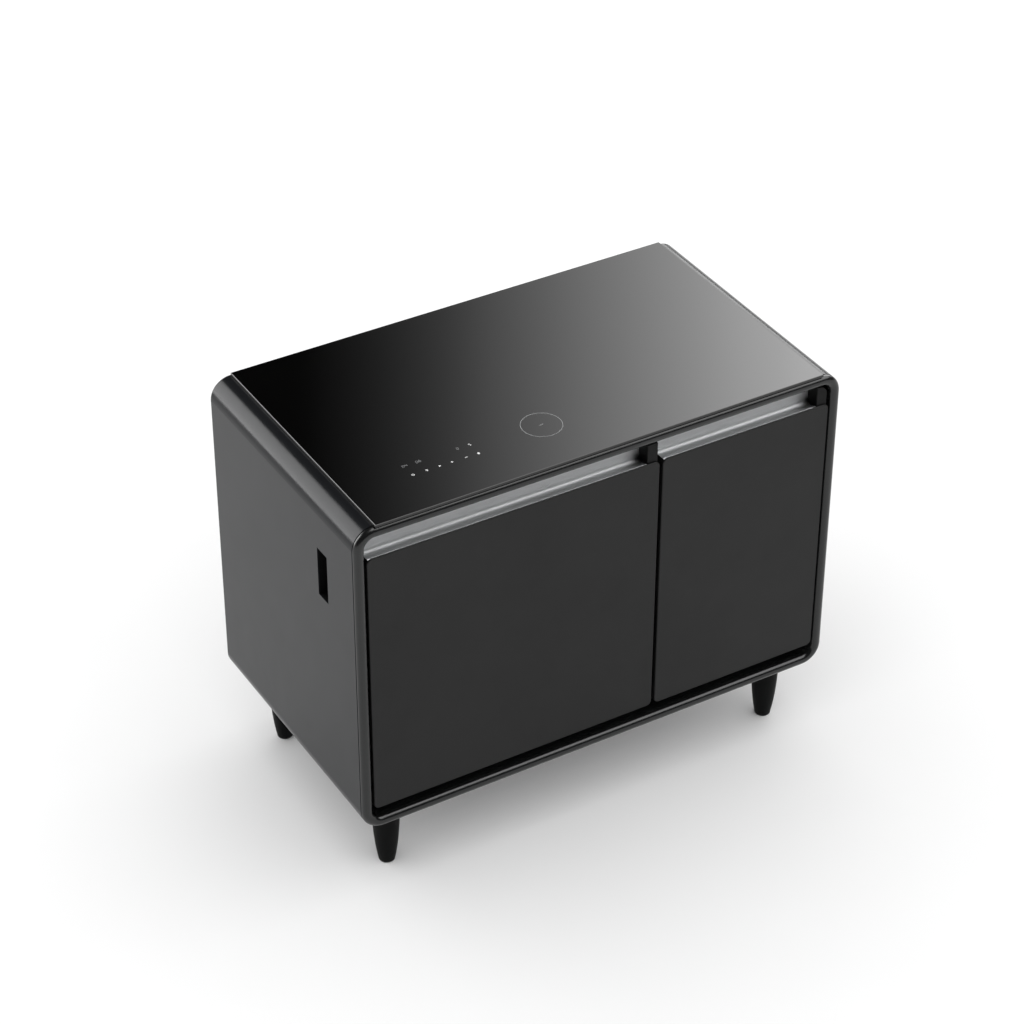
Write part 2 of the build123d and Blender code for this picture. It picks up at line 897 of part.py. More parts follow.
# Legs: turned, tapering along half an ellipse, screwed up against the cabinet floor
def leg_radius(z):
    """Radius of a leg at one height: upright where it meets the cabinet, narrowest at its tip."""
    drop = (body_bottom - z) / leg_curve_height
    return leg_top_radius * math.sqrt(1 - drop**2)


def leg(place):
    x, y = place
    step = (body_bottom - leg_pad_height) / leg_curve_steps
    heights = [leg_pad_height + step * index for index in range(leg_curve_steps)] + [body_bottom]
    with BuildPart() as turned:
        with BuildSketch(Plane.XZ):
            with BuildLine():
                Spline(*[(leg_radius(z), z) for z in heights])
                Polyline(
                    (leg_top_radius, body_bottom),
                    (0, body_bottom),
                    (0, leg_pad_height),
                    (leg_radius(leg_pad_height), leg_pad_height),
                )
            make_face()
        revolve(axis=Axis.Z)
        with BuildSketch(Plane.XY.offset(stud_bottom)):
            Circle(stud_radius + thread_gap)
        extrude(amount=leg_bore_depth, mode=Mode.SUBTRACT)
    turned.part.position = (x, y, 0)
    return turned


leg_names = ["leg_front_left", "leg_front_right", "leg_back_left", "leg_back_right"]
for name, place in zip(leg_names, leg_places()):
    save(leg(place), name)

with BuildPart() as leg_pads:
    with BuildSketch():
        with Locations(*leg_places()):
            Circle(leg_tip_radius)
    extrude(amount=leg_pad_height)
    fillet(leg_pads.edges().group_by(Axis.Z)[0], leg_pad_edge)
save(leg_pads, "leg_pads")

with BuildPart() as leg_plates:
    with BuildSketch(Plane.XY.offset(floor_top)):
        with Locations(*leg_places()):
            Rectangle(leg_plate_size, leg_plate_size)
            Circle(stud_radius + thread_gap, mode=Mode.SUBTRACT)
    extrude(amount=leg_plate_thickness)
save(leg_plates, "leg_plates")

with BuildPart() as leg_studs:
    with BuildSketch(Plane.XY.offset(stud_bottom)):
        with Locations(*leg_places()):
            Circle(stud_radius)
    extrude(amount=stud_top - stud_bottom)
save(leg_studs, "leg_studs")

# Compressor: a welded can on a foot plate, standing on four grommets round four studs
foot_bottom = floor_top + grommet_height
can_bottom = foot_bottom + compressor_foot_thickness
foot_hole_spacing_x = compressor_foot_width - 2 * grommet_radius
foot_hole_spacing_y = compressor_foot_depth - 2 * grommet_radius
seam_z = can_bottom + compressor_height / 2


def compressor_stud_places():
    """The four grommet places, relative to the compressor's middle."""
    return GridLocations(foot_hole_spacing_x, foot_hole_spacing_y, 2, 2)


with BuildPart() as compressor:
    with BuildSketch(Plane.XY.offset(foot_bottom)):
        with Locations((compressor_x, compressor_y)):
            RectangleRounded(compressor_foot_width, compressor_foot_depth, grommet_radius)
            with compressor_stud_places():
                Circle(mount_stud_radius + seat_gap, mode=Mode.SUBTRACT)
    extrude(amount=compressor_foot_thickness)
    with BuildSketch(Plane.XY.offset(can_bottom)):
        with Locations((compressor_x, compressor_y)):
            Circle(compressor_radius)
    extrude(amount=compressor_height)
    fillet(compressor.edges().group_by(Axis.Z)[-1], compressor_dome_radius)
    with BuildSketch(Plane.XY.offset(seam_z - compressor_seam / 2)):
        with Locations((compressor_x, compressor_y)):
            Circle(compressor_radius + compressor_seam)
    extrude(amount=compressor_seam)
save(compressor, "compressor")

with BuildPart() as compressor_grommets:
    with BuildSketch(Plane.XY.offset(floor_top)):
        with Locations((compressor_x, compressor_y)):
            with compressor_stud_places():
                Circle(grommet_radius)
                Circle(mount_stud_radius + thread_gap, mode=Mode.SUBTRACT)
    extrude(amount=grommet_height)
save(compressor_grommets, "compressor_grommets")

with BuildPart() as compressor_studs:
    stud_length = grommet_height + compressor_foot_thickness
    with BuildSketch(Plane.XY.offset(floor_top)):
        with Locations((compressor_x, compressor_y)):
            with compressor_stud_places():
                Circle(mount_stud_radius)
    extrude(amount=stud_length + mount_stud_radius)
    with BuildSketch(Plane.XY.offset(floor_top + stud_length)):
        with Locations((compressor_x, compressor_y)):
            with compressor_stud_places():
                RegularPolygon(mount_stud_radius * 1.8, 6)
    extrude(amount=mount_stud_radius)
save(compressor_studs, "compressor_studs")

# Condenser: a row of fins on one serpentine tube, held between two taller end plates.
# The tube's lower end runs on into the insulation.
with BuildPart() as condenser_fins:
    for index in range(fin_count):
        fin_y = compressor_y - fins_length / 2 + index * fin_pitch
        is_end = index in (0, fin_count - 1)
        low = floor_top if is_end else fin_bottom
        with BuildSketch(upright(fin_y + fin_thickness / 2)):
            with Locations((fin_x, (low + fin_bottom + fin_height) / 2)):
                Rectangle(fin_width, fin_bottom + fin_height - low)
            with Locations(*[(fin_x, z) for z in pass_heights()]):
                Circle(tube_radius + thread_gap, mode=Mode.SUBTRACT)
        extrude(amount=fin_thickness)
save(condenser_fins, "condenser_fins")

run_front = compressor_y - fins_length / 2 - tube_overhang
run_back = compressor_y + fins_length / 2 + tube_overhang
with BuildPart() as condenser_tube:
    with BuildLine() as serpentine:
        heights = pass_heights()
        Line((fin_x, tube_start_y, heights[0]), (fin_x, run_front, heights[0]))
        for index, z in enumerate(heights):
            Line((fin_x, run_front, z), (fin_x, run_back, z))
            if index + 1 < tube_passes:
                turn_y = run_back if index % 2 == 0 else run_front
                bulge = tube_pitch / 2 if index % 2 == 0 else -tube_pitch / 2
                ThreePointArc(
                    (fin_x, turn_y, z),
                    (fin_x, turn_y + bulge, z + tube_pitch / 2),
                    (fin_x, turn_y, z + tube_pitch),
                )
    with BuildSketch(Plane((fin_x, tube_start_y, heights[0]), z_dir=(0, 1, 0))):
        Circle(tube_radius)
    sweep(path=serpentine.wires()[0])
save(condenser_tube, "condenser_tube")

# Fan bracket: an upright plate with a round hole, standing on a folded foot
bracket_back_x = bracket_left_x + bracket_thickness
with BuildPart() as fan_bracket:
    with BuildSketch(sideways(bracket_left_x)):
        with Locations((compressor_y, floor_top + bracket_height / 2)):
            Rectangle(bracket_width, bracket_height)
        with Locations((compressor_y, fan_z)):
            Circle(fan_bore_radius, mode=Mode.SUBTRACT)
    extrude(amount=bracket_thickness)
    with BuildSketch(Plane.XY.offset(floor_top)):
        with Locations((bracket_left_x + bracket_foot / 2, compressor_y)):
            Rectangle(bracket_foot, bracket_width)
    extrude(amount=bracket_thickness)
save(fan_bracket, "fan_bracket")

# Fan: a square frame with a bearing hub on four struts, and a bladed rotor on its shaft
fan_right_x = bracket_back_x + fan_thickness
hub_length = fan_thickness - fan_strut_depth - fan_tip_gap
with BuildPart() as fan_frame:
    with BuildSketch(sideways(bracket_back_x)):
        with Locations((compressor_y, fan_z)):
            RectangleRounded(fan_size, fan_size, fan_corner_radius)
            Circle(fan_bore_radius, mode=Mode.SUBTRACT)
    extrude(amount=fan_thickness)
    with BuildSketch(sideways(fan_right_x - fan_strut_depth)):
        with Locations((compressor_y, fan_z)):
            Circle(fan_hub_radius)
            with PolarLocations(fan_bore_radius / 2, 4):
                Rectangle(fan_bore_radius + fan_strut_width, fan_strut_width)
    extrude(amount=fan_strut_depth)
    with BuildSketch(sideways(fan_right_x - fan_strut_depth)):
        with Locations((compressor_y, fan_z)):
            Circle(fan_shaft_radius + shaft_gap)
    extrude(amount=fan_strut_depth, mode=Mode.SUBTRACT)
save(fan_frame, "fan_frame")

rotor_left_x = bracket_back_x + fan_tip_gap
blade_root = fan_hub_radius - fan_blade_thickness
blade_tip = fan_bore_radius - fan_tip_gap
with BuildPart() as fan_rotor:
    with BuildSketch(sideways(rotor_left_x)):
        with Locations((compressor_y, fan_z)):
            Circle(fan_hub_radius)
    extrude(amount=hub_length - slide_gap)
    hub_place = Location((rotor_left_x + hub_length / 2, compressor_y, fan_z))
    for index in range(fan_blade_count):
        spoke = hub_place * Location((0, 0, 0), (index * 360 / fan_blade_count, 0, 0))
        root_place = spoke * Location((0, 0, blade_root), (0, 0, fan_blade_pitch))
        with BuildSketch(Plane(root_place)):
            Rectangle(fan_blade_width, fan_blade_thickness)
        extrude(amount=blade_tip - blade_root)
    with BuildSketch(sideways(rotor_left_x)):
        with Locations((compressor_y, fan_z)):
            Circle(fan_shaft_radius + press_gap)
    extrude(amount=hub_length, mode=Mode.SUBTRACT)
save(fan_rotor, "fan_rotor")

with BuildPart() as fan_shaft:
    with BuildSketch(sideways(rotor_left_x)):
        with Locations((compressor_y, fan_z)):
            Circle(fan_shaft_radius)
    extrude(amount=fan_thickness - fan_tip_gap)
save(fan_shaft, "fan_shaft")

# Refrigerant pipes: compressor to condenser, and evaporator back to the compressor
can_top = can_bottom + compressor_height
discharge_x = compressor_x - compressor_radius / 2
top_pass_z = pass_heights()[-1]
pipe_front_y = run_front - pipe_bend - shaft_gap
discharge_points = [
    (discharge_x, compressor_y, can_top),
    (discharge_x, compressor_y, can_top + pipe_rise),
    (discharge_x, pipe_front_y, can_top + pipe_rise),
    (fin_x, pipe_front_y, can_top + pipe_rise),
    (fin_x, pipe_front_y, top_pass_z),
    (fin_x, run_front, top_pass_z),
]
suction_x = compressor_x + compressor_radius / 3
suction_points = [
    (suction_x, compressor_y, can_top),
    (suction_x, compressor_y, suction_hole_z),
    (suction_x, suction_hole_y, suction_hole_z),
    (suction_end_x, suction_hole_y, suction_hole_z),
]


def pipe(points):
    """A round tube along straight runs joined by bends of one radius."""
    with BuildPart() as tube:
        with BuildLine() as route:
            FilletPolyline(*points, radius=pipe_bend)
        with BuildSketch(Plane(points[0], z_dir=(0, 0, 1))):
            Circle(pipe_radius)
        sweep(path=route.wires()[0])
    return tube


save(pipe(discharge_points), "discharge_pipe")
save(pipe(suction_points), "suction_pipe")

# Control box: an open tray on the bay's front wall with the power board inside
with BuildPart() as control_box:
    with BuildSketch(upright(bay_front_y + control_depth)):
        with Locations((compressor_x, control_z)):
            RectangleRounded(control_width, control_height, control_wall)
    extrude(amount=control_depth)
    with BuildSketch(upright(bay_front_y + control_depth)):
        with Locations((compressor_x, control_z)):
            Rectangle(control_width - 2 * control_wall, control_height - 2 * control_wall)
    extrude(amount=control_depth - control_wall, mode=Mode.SUBTRACT)
    with BuildSketch(upright(bay_front_y + control_wall + board_standoff)):
        with Locations((compressor_x, control_z)):
            with GridLocations(control_width * 0.75, control_height * 0.6, 2, 2):
                Circle(screw_head_radius)
    extrude(amount=board_standoff)
save(control_box, "control_box")

board_front_y = bay_front_y + control_wall + board_standoff
with BuildPart() as control_board:
    board_back_y = board_front_y + board_thickness
    with BuildSketch(upright(board_back_y)):
        with Locations((compressor_x, control_z)):
            Rectangle(control_width - 4 * control_wall, control_height - 4 * control_wall)
    extrude(amount=board_thickness)
    part_height = (control_depth - control_wall - board_standoff) / 2
    with BuildSketch(upright(board_back_y)):
        with Locations((compressor_x - control_width / 4, control_z)):
            Rectangle(control_width / 5, control_height / 3)
        with Locations((compressor_x + control_width / 8, control_z)):
            with GridLocations(control_width / 6, control_height / 3, 2, 2):
                Circle(control_wall * 3)
    extrude(amount=-part_height)
save(control_board, "control_board")

# Rear panel with its vent slots, screws and the mains inlet
vent_z = floor_top + vent_above_floor
rear_panel_back_y = rear_panel_y + rear_panel_thickness


with BuildPart() as back_panel:
    with BuildSketch(upright(rear_panel_back_y)):
        body_outline(sheet + seat_gap)
        with Locations((0, body_middle)):
            with rear_screw_places():
                Circle(screw_shank_radius + thread_gap, mode=Mode.SUBTRACT)
        with Locations((inlet_x, inlet_z)):
            Rectangle(
                inlet_body_width + 2 * seat_gap,
                inlet_body_height + 2 * seat_gap,
                mode=Mode.SUBTRACT,
            )
        with Locations((compressor_x, vent_z)):
            with GridLocations(vent_column_pitch, vent_row_pitch, vent_columns, vent_rows):
                SlotOverall(vent_slot_length, vent_slot_height, mode=Mode.SUBTRACT)
    extrude(amount=rear_panel_thickness)
save(back_panel, "back_panel")

with BuildPart() as back_panel_screws:
    with BuildSketch(upright(rear_panel_back_y)):
        with Locations((0, body_middle)):
            with rear_screw_places():
                Circle(screw_shank_radius)
    extrude(amount=rear_screw_length)
    with BuildSketch(upright(rear_panel_back_y + screw_head_height)):
        with Locations((0, body_middle)):
            with rear_screw_places():
                Circle(screw_head_radius)
    extrude(amount=screw_head_height)
save(back_panel_screws, "back_panel_screws")

with BuildPart() as power_inlet:
    inlet_back_y = rear_panel_back_y + inlet_flange_thickness
    socket_width = inlet_body_width - 2 * inlet_socket_margin
    socket_height = inlet_body_height - 2 * inlet_socket_margin
    with BuildSketch(upright(inlet_back_y)):
        with Locations((inlet_x, inlet_z)):
            RectangleRounded(inlet_flange_width, inlet_flange_height, inlet_socket_margin)
    extrude(amount=inlet_flange_thickness)
    with BuildSketch(upright(rear_panel_back_y)):
        with Locations((inlet_x, inlet_z)):
            Rectangle(inlet_body_width, inlet_body_height)
    extrude(amount=inlet_body_depth)
    with BuildSketch(upright(inlet_back_y)):
        with Locations((inlet_x, inlet_z)):
            RectangleRounded(socket_width, socket_height, inlet_socket_margin)
    extrude(amount=inlet_socket_depth, mode=Mode.SUBTRACT)
    with BuildSketch(upright(inlet_back_y - inlet_socket_depth)):
        with Locations((inlet_x, inlet_z + inlet_pin_height / 2)):
            Rectangle(inlet_pin_width, inlet_pin_height)
        for sign in (-1, 1):
            with Locations((inlet_x + sign * inlet_pin_pitch, inlet_z - inlet_pin_height / 2)):
                Rectangle(inlet_pin_width, inlet_pin_height)
    extrude(amount=-inlet_pin_length)
save(power_inlet, "power_inlet")
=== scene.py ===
import json
import math

import bpy
from mathutils import Matrix, Vector


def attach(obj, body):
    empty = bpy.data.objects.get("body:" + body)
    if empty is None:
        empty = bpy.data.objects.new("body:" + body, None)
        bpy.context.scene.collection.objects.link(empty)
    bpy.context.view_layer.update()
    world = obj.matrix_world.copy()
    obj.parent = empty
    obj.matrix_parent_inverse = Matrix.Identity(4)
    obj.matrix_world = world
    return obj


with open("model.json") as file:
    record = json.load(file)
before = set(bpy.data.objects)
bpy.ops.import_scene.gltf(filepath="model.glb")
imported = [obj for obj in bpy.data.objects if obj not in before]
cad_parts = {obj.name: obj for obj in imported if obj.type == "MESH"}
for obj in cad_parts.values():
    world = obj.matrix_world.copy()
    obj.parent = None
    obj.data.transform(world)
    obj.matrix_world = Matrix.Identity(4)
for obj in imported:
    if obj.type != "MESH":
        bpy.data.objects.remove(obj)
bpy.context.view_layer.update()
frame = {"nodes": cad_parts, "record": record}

# Small helpers for node trees


def linear(value):
    """One sRGB channel, from 0 to 1, as linear light."""
    return value / 12.92 if value <= 0.04045 else ((value + 0.055) / 1.055) ** 2.4


def tone(code):
    """A linear colour from a six-digit sRGB code."""
    return tuple(linear(int(code[i : i + 2], 16) / 255) for i in (0, 2, 4)) + (1.0,)


class Finish:
    """One Principled material, with short ways to add the nodes that the finishes share."""

    def __init__(self, name, **constants):
        self.material = bpy.data.materials.new(name)
        self.material.use_nodes = True
        self.tree = self.material.node_tree
        self.nodes = self.tree.nodes
        self.shader = self.nodes["Principled BSDF"]
        for socket, value in constants.items():
            self.shader.inputs[socket.replace("_", " ")].default_value = value
        self.place = self.nodes.new("ShaderNodeTexCoord").outputs["Object"]

    def link(self, a, b):
        self.tree.links.new(a, b)

    def stretched(self, x, y, z):
        node = self.nodes.new("ShaderNodeMapping")
        node.inputs["Scale"].default_value = (x, y, z)
        self.link(self.place, node.inputs["Vector"])
        return node.outputs["Vector"]

    def noise(self, scale, detail=3.0, roughness=0.5, vector=None):
        node = self.nodes.new("ShaderNodeTexNoise")
        node.inputs["Scale"].default_value = scale
        node.inputs["Detail"].default_value = detail
        node.inputs["Roughness"].default_value = roughness
        self.link(vector or self.place, node.inputs["Vector"])
        return node.outputs["Fac"]

    def cells(self, scale, feature="F1", randomness=1.0):
        node = self.nodes.new("ShaderNodeTexVoronoi")
        node.feature = feature
        node.inputs["Scale"].default_value = scale
        node.inputs["Randomness"].default_value = randomness
        self.link(self.place, node.inputs["Vector"])
        return node.outputs["Distance"]

    def ramp(self, factor, stops):
        node = self.nodes.new("ShaderNodeValToRGB")
        elements = node.color_ramp.elements
        while len(elements) < len(stops):
            elements.new(0.5)
        for element, (position, code) in zip(elements, stops):
            element.position = position
            element.color = tone(code)
        self.link(factor, node.inputs["Fac"])
        return node.outputs["Color"]

    def between(self, factor, low, high, start=0.3, end=0.7):
        node = self.nodes.new("ShaderNodeMapRange")
        node.inputs["From Min"].default_value = start
        node.inputs["From Max"].default_value = end
        node.inputs["To Min"].default_value = low
        node.inputs["To Max"].default_value = high
        self.link(factor, node.inputs["Value"])
        return node.outputs["Result"]

    def mixed(self, factor, a, b):
        node = self.nodes.new("ShaderNodeMix")
        node.data_type = "RGBA"
        self.link(factor, node.inputs["Factor"])
        self.link(a, node.inputs["A"])
        self.link(b, node.inputs["B"])
        return node.outputs["Result"]

    def colour(self, socket):
        self.link(socket, self.shader.inputs["Base Color"])

    def rough(self, socket):
        self.link(socket, self.shader.inputs["Roughness"])

    def relief(self, height, strength, distance):
        node = self.nodes.new("ShaderNodeBump")
        node.inputs["Strength"].default_value = strength
        node.inputs["Distance"].default_value = distance
        self.link(height, node.inputs["Height"])
        existing = self.shader.inputs["Normal"].links
        if existing:
            self.link(existing[0].from_socket, node.inputs["Normal"])
        self.link(node.outputs["Normal"], self.shader.inputs["Normal"])


# Finishes, one for each slot of the record


def powder_coat(name, stops, roughness, grain=1400.0, depth=0.00006, **constants):
    """Baked paint on sheet metal: an even tone, fine orange peel and a faintly cloudy gloss."""
    f = Finish(name, **constants)
    f.colour(f.ramp(f.noise(7.0, 4.0), stops))
    f.rough(f.between(f.noise(24.0, 5.0, 0.6), roughness - 0.03, roughness + 0.03))
    f.relief(f.noise(grain, 2.0), strength=0.25, distance=depth)
    f.relief(f.noise(grain / 7, 2.0), strength=0.15, distance=depth * 2)
    return f.material


def moulded(name, stops, roughness, grain=2200.0, depth=0.00005, **constants):
    """Moulded plastic: a fine eroded grain and a little flow cloudiness."""
    f = Finish(name, **constants)
    f.colour(f.ramp(f.noise(12.0, 3.0), stops))
    f.rough(f.between(f.noise(60.0, 4.0), roughness - 0.04, roughness + 0.04))
    f.relief(f.cells(grain), strength=0.3, distance=depth)
    return f.material


def brushed(name, stops, roughness, stretch, **constants):
    """Metal with fine lines along one direction."""
    f = Finish(name, Metallic=1.0, **constants)
    lines = f.noise(1.0, 6.0, 0.7, f.stretched(*stretch))
    f.colour(f.ramp(f.between(lines, 0.0, 1.0), stops))
    f.rough(f.between(lines, roughness - 0.05, roughness + 0.06))
    f.relief(lines, strength=0.2, distance=0.00004)
    return f.material


def foam(name):
    """Foamed polyurethane: open cells of about a millimetre and uneven yellowing."""
    f = Finish(name, Specular_IOR_Level=0.2)
    f.colour(f.ramp(f.noise(18.0, 5.0), ((0.35, "cfc193"), (0.65, "e2d8b3"))))
    f.rough(f.between(f.noise(90.0), 0.82, 0.95))
    f.relief(f.cells(900.0), strength=0.6, distance=0.0004)
    f.relief(f.noise(40.0, 4.0), strength=0.4, distance=0.001)
    return f.material


def copper(name):
    """Drawn copper with a light brown bloom."""
    f = Finish(name, Metallic=1.0)
    bloom = f.noise(55.0, 6.0, 0.6)
    f.colour(f.ramp(bloom, ((0.35, "c77b4b"), (0.55, "b4693d"), (0.72, "7c4a30"))))
    f.rough(f.between(bloom, 0.22, 0.5))
    f.relief(f.noise(900.0), strength=0.15, distance=0.00005)
    return f.material


def circuit_board(name):
    """Green solder mask over copper tracks, with tinned pads."""
    f = Finish(name, Coat_Weight=0.4, Coat_Roughness=0.15)
    tracks = f.cells(160.0, "DISTANCE_TO_EDGE", randomness=0.35)
    mask = f.ramp(tracks, ((0.05, "2c7a4c"), (0.09, "16512f")))
    pads = f.cells(210.0, randomness=0.0)
    pad_edge = (0.16, 0.2)
    tin = f.ramp(pads, ((0.0, "c9ccc9"), (1.0, "b3b6b2")))
    f.colour(f.mixed(f.between(pads, 1.0, 0.0, *pad_edge), mask, tin))
    f.rough(f.between(pads, 0.3, 0.42, *pad_edge))
    f.relief(tracks, strength=0.3, distance=0.0001)
    return f.material


def dark_glass(name):
    """Tempered glass painted black on its underside, very slightly wavy, with wiped streaks."""
    f = Finish(name, IOR=1.5, Specular_IOR_Level=0.5)
    f.colour(f.ramp(f.noise(3.0, 2.0), ((0.3, "050505"), (0.7, "070707"))))
    streaks = f.noise(1.0, 5.0, 0.6, f.stretched(6.0, 30.0, 6.0))
    f.rough(f.between(streaks, 0.03, 0.05))
    f.relief(f.noise(9.0, 1.0), strength=0.02, distance=0.0002)
    return f.material


def printed(name, code):
    """Enamel print in one even grey."""
    return Finish(name, Base_Color=tone(code), Roughness=0.5).material


finishes = {
    "powder_coat_grey": powder_coat(
        "powder_coat_grey", ((0.3, "17181a"), (0.7, "1b1c1e")), 0.22, Specular_IOR_Level=0.14
    ),
    "frame_grey": powder_coat(
        "frame_grey", ((0.3, "0e0f0f"), (0.7, "121313")), 0.24, Specular_IOR_Level=0.45
    ),
    "dark_steel": powder_coat("dark_steel", ((0.3, "0b0b0c"), (0.7, "0f0f10")), 0.6),
    "front_grey": powder_coat(
        "front_grey", ((0.3, "141414"), (0.7, "181818")), 0.42, Specular_IOR_Level=0.22
    ),
    "handle_aluminium": brushed(
        "handle_aluminium", ((0.2, "c6c7c8"), (0.8, "d4d5d6")), 0.52, stretch=(20.0, 1600.0, 1600.0)
    ),
    "black_trim": moulded(
        "black_trim", ((0.3, "070707"), (0.7, "0b0b0b")), 0.5, Specular_IOR_Level=0.15
    ),
    "black_glass": dark_glass("black_glass"),
    "tape_black": moulded("tape_black", ((0.3, "0b0b0b"), (0.7, "0f0f0f")), 0.75),
    "leg_black": powder_coat(
        "leg_black", ((0.3, "070808"), (0.7, "0b0c0c")), 0.5, Specular_IOR_Level=0.06
    ),
    "pad_rubber": moulded(
        "pad_rubber", ((0.3, "121212"), (0.7, "181818")), 0.85, grain=1500.0, depth=0.0001
    ),
    "gasket_rubber": moulded("gasket_rubber", ((0.3, "454647"), (0.7, "4e4f50")), 0.65),
    "white_plastic": powder_coat(
        "white_plastic", ((0.3, "e6e7e7"), (0.7, "ebecec")), 0.3, grain=300.0, depth=0.000004
    ),
    "foam_cream": foam("foam_cream"),
    "zinc_steel": brushed(
        "zinc_steel", ((0.2, "a9adb2"), (0.8, "c5c8cc")), 0.3, stretch=(300.0, 40.0, 300.0)
    ),
    "fin_aluminium": brushed(
        "fin_aluminium", ((0.2, "b9bbbd"), (0.8, "cfd1d3")), 0.35, stretch=(400.0, 400.0, 30.0)
    ),
    "copper": copper("copper"),
    "compressor_black": powder_coat(
        "compressor_black",
        ((0.3, "131415"), (0.7, "1a1b1d")),
        0.3,
        grain=300.0,
        depth=0.0002,
        Coat_Weight=0.3,
    ),
    "fan_plastic": moulded("fan_plastic", ((0.3, "1a1a1b"), (0.7, "202021")), 0.5),
    "board_green": circuit_board("board_green"),
    "ferrite_grey": moulded(
        "ferrite_grey", ((0.3, "363537"), (0.7, "414042")), 0.7, grain=1800.0, depth=0.0001
    ),
}

for part in frame["record"]["subparts"]:
    for holder in frame["nodes"][part["node"]].material_slots:
        holder.material = finishes[part["material_slot"]]

# Printed marks on the glass, in metres

print_z = 0.63506
ring_centre = (-0.049, -0.121)
ring_radius = 0.0292
ring_line = 0.0009
keys_y = -0.137
readings_y = -0.113
digit_pitch = 0.0044
mark_line = 0.0007
plus_line = 0.0009
sign_width = 0.0038


def mesh_object(name, corners, faces):
    """An object in the scene, with a mesh of those corners and faces."""
    mesh = bpy.data.meshes.new(name)
    mesh.from_pydata(corners, [], faces)
    mesh.update()
    item = bpy.data.objects.new(name, mesh)
    bpy.context.scene.collection.objects.link(item)
    return item


def flat_piece(name, polygons, material):
    """A thin printed piece made of flat polygons on the glass, riding with the cabinet."""
    corners = []
    faces = []
    for polygon in polygons:
        start = len(corners)
        corners += [(x, y, print_z) for x, y in polygon]
        faces.append(tuple(range(start, len(corners))))
    piece = mesh_object(name, corners, faces)
    piece.data.materials.append(material)
    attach(piece, "cabinet")


def arc_strip(centre, radius, line, start=0.0, turn=360.0, steps=96):
    """Quadrilaterals along an arc of that line width."""
    polygons = []
    angles = [math.radians(start + turn * i / steps) for i in range(steps + 1)]
    inner, outer = radius - line / 2, radius + line / 2
    for a, b in zip(angles, angles[1:]):
        polygons.append(
            [
                (centre[0] + r * math.cos(t), centre[1] + r * math.sin(t))
                for r, t in ((inner, a), (outer, a), (outer, b), (inner, b))
            ]
        )
    return polygons


def bar(centre, length, line, angle=0.0):
    """A short straight stroke."""
    c, s = math.cos(math.radians(angle)), math.sin(math.radians(angle))
    h, v = length / 2, line / 2
    corners = ((-h, -v), (h, -v), (h, v), (-h, v))
    return [[(centre[0] + x * c - y * s, centre[1] + x * s + y * c) for x, y in corners]]


def shifted(polygons, x, y):
    """The same polygons, moved by x and y."""
    return [[(px + x, py + y) for px, py in polygon] for polygon in polygons]


ink_bright = printed("print_bright", "e8e8e8")
ink_soft = printed("print_soft", "7c7d7e")

bolt = [
    [(-0.0005, -0.0008), (0.0042, 0.0004), (-0.0005, 0.0012)],
    [(0.0005, 0.0008), (-0.0042, -0.0004), (0.0005, -0.0012)],
]
flat_piece(
    "charging_ring_print", arc_strip(ring_centre, ring_radius, ring_line), ink_soft
)
flat_piece("charging_bolt_print", shifted(bolt, *ring_centre), ink_soft)

power_mark = [
    *arc_strip((0, 0), 0.0019, mark_line, start=125, turn=290, steps=18),
    *bar((0, 0.0014), 0.0022, mark_line, angle=90),
]
minus_mark = bar((0, 0), sign_width, 0.0011)
plus_mark = [
    *bar((0, 0), sign_width, plus_line),
    *bar((0, 0.0012), 0.0014, plus_line, angle=90),
    *bar((0, -0.0012), 0.0014, plus_line, angle=90),
]
lamp_mark = [
    *arc_strip((0, 0.0004), 0.0013, mark_line, steps=20),
    *bar((0, -0.0019), 0.0018, mark_line),
]
lock_mark = [
    *bar((0, -0.0008), 0.0032, 0.0024),
    *arc_strip((0, 0.0006), 0.0012, 0.0006, turn=180, steps=12),
]
play_mark = [[(-0.0013, -0.0018), (0.0021, 0.0), (-0.0013, 0.0018)]]
keys = (
    (-0.259, power_mark),
    (-0.238, lamp_mark),
    (-0.218, play_mark),
    (-0.199, plus_mark),
    (-0.177, minus_mark),
    (-0.158, lock_mark),
)
for number, (x, mark) in enumerate(keys, 1):
    flat_piece(f"touch_key_print_{number}", shifted(mark, x, keys_y), ink_bright)


def digit(shape, height=0.0046, width=0.0026, line=0.0006, share=0.8):
    """A seven-segment digit, from the letters a to g, each stroke that share of its segment."""
    half = height / 2
    segments = {
        "a": ((0, half), width, 0),
        "b": ((width / 2, half / 2), half, 90),
        "c": ((width / 2, -half / 2), half, 90),
        "d": ((0, -half), width, 0),
        "e": ((-width / 2, -half / 2), half, 90),
        "f": ((-width / 2, half / 2), half, 90),
        "g": ((0, 0), width, 0),
    }
    chosen = [segments[letter] for letter in shape]
    return [p for place, length, angle in chosen for p in bar(place, length * share, line, angle)]


digits = {"0": "abcdef", "4": "fgbc", "5": "afgcd", "8": "abcdefg"}
readings = (
    (-0.259, "04", ink_soft),
    (-0.238, "08", ink_soft),
    (-0.177, "0", ink_soft),
    (-0.158, "5", ink_bright),
)
for number, (x, text, ink) in enumerate(readings, 1):
    strokes = []
    for place, letter in enumerate(text):
        offset = (place - (len(text) - 1) / 2) * digit_pitch
        strokes += shifted(digit(digits[letter]), x + offset, readings_y)
    flat_piece(f"reading_print_{number}", strokes, ink)

# Floor, lights and camera


def emission(name, strength_nodes):
    """A material that only glows, as strongly as the given function links up."""
    material = bpy.data.materials.new(name)
    material.use_nodes = True
    tree = material.node_tree
    tree.nodes.clear()
    out = tree.nodes.new("ShaderNodeOutputMaterial")
    glow = tree.nodes.new("ShaderNodeEmission")
    tree.links.new(glow.outputs["Emission"], out.inputs["Surface"])
    strength_nodes(tree, glow)
    return material


